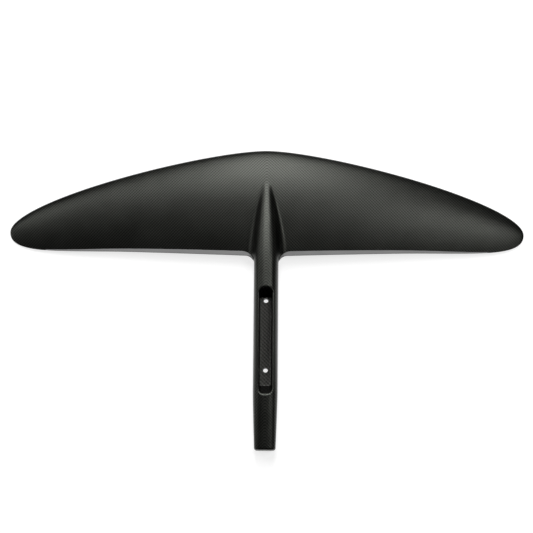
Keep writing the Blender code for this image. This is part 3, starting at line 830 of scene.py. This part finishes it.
def strip_material():
    nodes = Nodes("edge_adhesive_grey")
    vector, _ = nodes.position()
    grain = nodes.noise(vector, 900.0, 3.0, 0.6)
    cloud = nodes.noise(vector, 40.0, 2.0)
    tone = nodes.math("ADD", nodes.math("MULTIPLY", grain, 0.4), nodes.math("MULTIPLY", cloud, 0.6))
    colour = nodes.colours(tone, (0.20, 0.20, 0.20), (0.26, 0.26, 0.26))
    nodes.set(Base_Color=colour, Roughness=0.6, Specular_IOR_Level=0.35)
    nodes.bump(grain, 0.12, 0.0002)
    return nodes.material


def streak_material(name, dark, light, stretch, roughness):
    """Straight fibres: noise drawn out along them."""
    nodes = Nodes(name)
    vector, _ = nodes.position()
    fibre = nodes.noise(nodes.stretched(vector, stretch), 1.0, 4.0, 0.65)
    nodes.set(
        Base_Color=nodes.colours(nodes.spread(fibre, 0.3, 0.7, 0.0, 1.0), dark, light),
        Roughness=nodes.spread(fibre, 0.3, 0.7, roughness + 0.08, roughness - 0.08),
    )
    nodes.bump(fibre, 0.3, 0.0002)
    return nodes.material


def foam_material():
    nodes = Nodes("closed_cell_foam")
    vector, _ = nodes.position()
    cell = nodes.tree.nodes.new("ShaderNodeTexVoronoi")
    cell.feature = "DISTANCE_TO_EDGE"
    nodes.link(vector, cell.inputs["Vector"])
    cell.inputs["Scale"].default_value = 1400.0
    wall = nodes.spread(cell.outputs["Distance"], 0.0, 0.2, 1.0, 0.0)
    cloud = nodes.noise(vector, 30.0)
    tone = nodes.math("ADD", nodes.math("MULTIPLY", wall, 0.5), nodes.math("MULTIPLY", cloud, 0.5))
    colour = nodes.colours(tone, (0.58, 0.47, 0.24), (0.72, 0.62, 0.36))
    nodes.set(Base_Color=colour, Roughness=0.9, Specular_IOR_Level=0.2)
    nodes.bump(wall, 0.5, 0.0002)
    return nodes.material


def metal_material(name, colour, dull, roughness):
    """Turned metal: fine rings and a faint stain."""
    nodes = Nodes(name)
    vector, _ = nodes.position()
    rings = nodes.noise(nodes.stretched(vector, (300.0, 300.0, 9000.0)), 1.0, 3.0)
    stain = nodes.noise(vector, 320.0, 3.0)
    nodes.set(
        Base_Color=nodes.colours(nodes.spread(stain, 0.35, 0.7, 0.0, 1.0), colour, dull),
        Metallic=1.0,
        Roughness=nodes.spread(rings, 0.3, 0.7, roughness - 0.06, roughness + 0.08),
    )
    nodes.bump(rings, 0.08, 0.0001)
    return nodes.material


def floor_material():
    nodes = Nodes("studio_floor")
    nodes.set(Base_Color=(FLOOR_GREY, FLOOR_GREY, FLOOR_GREY, 1.0), Roughness=0.9, Specular_IOR_Level=0.0)
    nodes.set(Emission_Color=(1.0, 1.0, 1.0, 1.0), Emission_Strength=FLOOR_GLOW)
    return nodes.material


# The stage: floor, lights and camera


def make_floor():
    mesh = bpy.data.meshes.new("floor")
    signs = ((-1, -1), (1, -1), (1, 1), (-1, 1))
    corners = [(x * FLOOR_SIZE, y * FLOOR_SIZE, 0.0) for x, y in signs]
    mesh.from_pydata(corners, [], [(0, 1, 2, 3)])
    floor = add_object("floor", mesh, floor_material())


def softbox(name, right, forward, half_angles, brightness):
    """A panel overhead, tilted away from straight above by these angles, facing the part."""
    tangents = math.tan(math.radians(right)), math.tan(math.radians(forward))
    towards = Vector((*tangents, 1.0)).normalized()
    data = bpy.data.lights.new(name, "AREA")
    data.shape = "RECTANGLE"
    data.size, data.size_y = (2 * LIGHT_DISTANCE * math.tan(math.radians(half)) for half in half_angles)
    data.energy = math.pi * data.size * data.size_y * brightness
    light = bpy.data.objects.new(name, data)
    light.location = towards * LIGHT_DISTANCE
    light.rotation_mode = "QUATERNION"
    light.rotation_quaternion = towards.to_track_quat("Z", "Y")
    bpy.context.scene.collection.objects.link(light)


def make_lights():
    for name, right, forward, half_angles, brightness in SOFTBOXES:
        softbox(name, right, forward, half_angles, brightness)
    world = bpy.data.worlds.new("studio")
    world.use_nodes = True
    background = world.node_tree.nodes["Background"]
    background.inputs["Color"].default_value = (1.0, 1.0, 1.0, 1.0)
    background.inputs["Strength"].default_value = WORLD_STRENGTH
    bpy.context.scene.world = world


def make_camera():
    data = bpy.data.cameras.new("camera")
    data.sensor_width = SENSOR
    data.lens = SENSOR * CAMERA_DISTANCE / VIEW_WIDTH
    data.clip_start, data.clip_end = 0.05, 50.0
    camera = bpy.data.objects.new("camera", data)
    bpy.context.scene.collection.objects.link(camera)
    tilt, side = math.radians(CAMERA_TILT), math.radians(CAMERA_SIDE)
    back = Vector((math.sin(side), -math.sin(tilt) * math.cos(side), math.cos(tilt) * math.cos(side)))
    right = Vector((0.0, 1.0, 0.0)).cross(back).normalized()
    facing = Matrix((right, back.cross(right), back)).transposed().to_4x4()
    roll = Matrix.Rotation(math.radians(CAMERA_ROLL), 4, "Z")
    place_at = Matrix.Translation(Vector(CAMERA_TARGET) + back * CAMERA_DISTANCE)
    camera.matrix_world = place_at @ (facing @ roll)
    bpy.context.scene.camera = camera


# Everything put together


def stand_in(piece, node):
    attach(piece, "root")
    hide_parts(node)


def dress(names, material):
    """Gives CAD nodes that stay as they are a material of their own."""
    for name in names:
        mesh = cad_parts[name].data
        mesh.materials.clear()
        mesh.materials.append(material)


def cut_fitting_spaces(lower):
    """Opens the belly for the sleeves, the cup washers and the tail's inserts."""
    wide, narrow = WASHER_RADIUS + GAP, SLEEVE_RADIUS + GAP
    passage = (
        (0.0, SOCKET_BED),
        (narrow, SOCKET_BED),
        (narrow, WASHER_TOP + GAP),
        (wide, WASHER_RIM + GAP),
        (wide, -CUT_MARGIN),
        (0.0, -CUT_MARGIN),
    )
    for station in BOLT_STATIONS:
        cut(lower, turned("passage_cutter", passage, station, closed=False))
    top, radius = SEAT_HEIGHT + INSERT_LENGTH + GAP, INSERT_RADIUS + GAP
    pocket = ((0.0, top), (radius, top), (radius, -CUT_MARGIN), (0.0, -CUT_MARGIN))
    for station in INSERT_STATIONS:
        cut(lower, turned("insert_cutter", pocket, station, closed=False))


def build_outside():
    carbon = carbon_material("carbon_twill", (0.0125, 0.0130, 0.0118), (0.050, 0.052, 0.047), 0.35)
    tray = carbon_material(
        "socket_twill", (0.006, 0.006, 0.0055), (0.050, 0.050, 0.047), 0.40, TRAY_TOW_WIDTH, False, 0.3
    )
    grey = strip_material()
    steel = metal_material("turned_steel", (0.62, 0.62, 0.63), (0.42, 0.41, 0.40), 0.28)
    brass = metal_material("turned_brass", (0.78, 0.58, 0.24), (0.52, 0.36, 0.14), 0.3)
    upper = make_skin("upper_shell", 1, carbon)
    cut(upper, lip_cutter())
    stand_in(upper, "upper_skin")
    lower = make_skin("lower_shell", -1, carbon)
    cut_fitting_spaces(lower)
    stand_in(lower, "lower_skin")
    for name, sign in (("port", -1), ("starboard", 1)):
        strip = make_strip("edge_strip_" + name, sign, grey)
        stand_in(strip, "trailing_edge_strip_" + name)
    stand_in(make_liner(tray), "mast_socket_liner")
    dark, light = (0.010, 0.010, 0.010), (0.030, 0.030, 0.030)
    sleeve = carbon_material("sleeve_carbon", dark, light, 0.5, SLEEVE_TOW_WIDTH, False)
    for piece, node, slot in make_bolt_fittings(sleeve, steel):
        stand_in(piece, node)
    for piece, node in make_inserts(brass):
        stand_in(piece, node)
    stand_in(make_tail_cap(carbon), "tail_cap")


def dress_inside():
    foam = foam_material()
    dress([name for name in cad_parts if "core" in name], foam)
    dark, light = (0.006, 0.006, 0.0065), (0.035, 0.035, 0.037)
    tape = streak_material("carbon_tape", dark, light, (60.0, 2600.0, 2600.0), 0.42)
    dress(("upper_spar_cap", "lower_spar_cap"), tape)
    dark, light = (0.006, 0.006, 0.007), (0.045, 0.045, 0.048)
    tow = streak_material("carbon_tow", dark, light, (90.0, 3200.0, 3200.0), 0.5)
    dress(("leading_edge_tow",), tow)
    dark, light = (0.02, 0.02, 0.021), (0.06, 0.06, 0.062)
    laminate = carbon_material("solid_laminate", dark, light, 0.5, LAMINATE_TOW_WIDTH, False)
    dress(("front_shear_web", "rear_shear_web", "socket_block", "tail_block"), laminate)


build_outside()
dress_inside()
make_floor()
make_lights()
make_camera()
bpy.context.scene.view_settings.view_transform = "Standard"
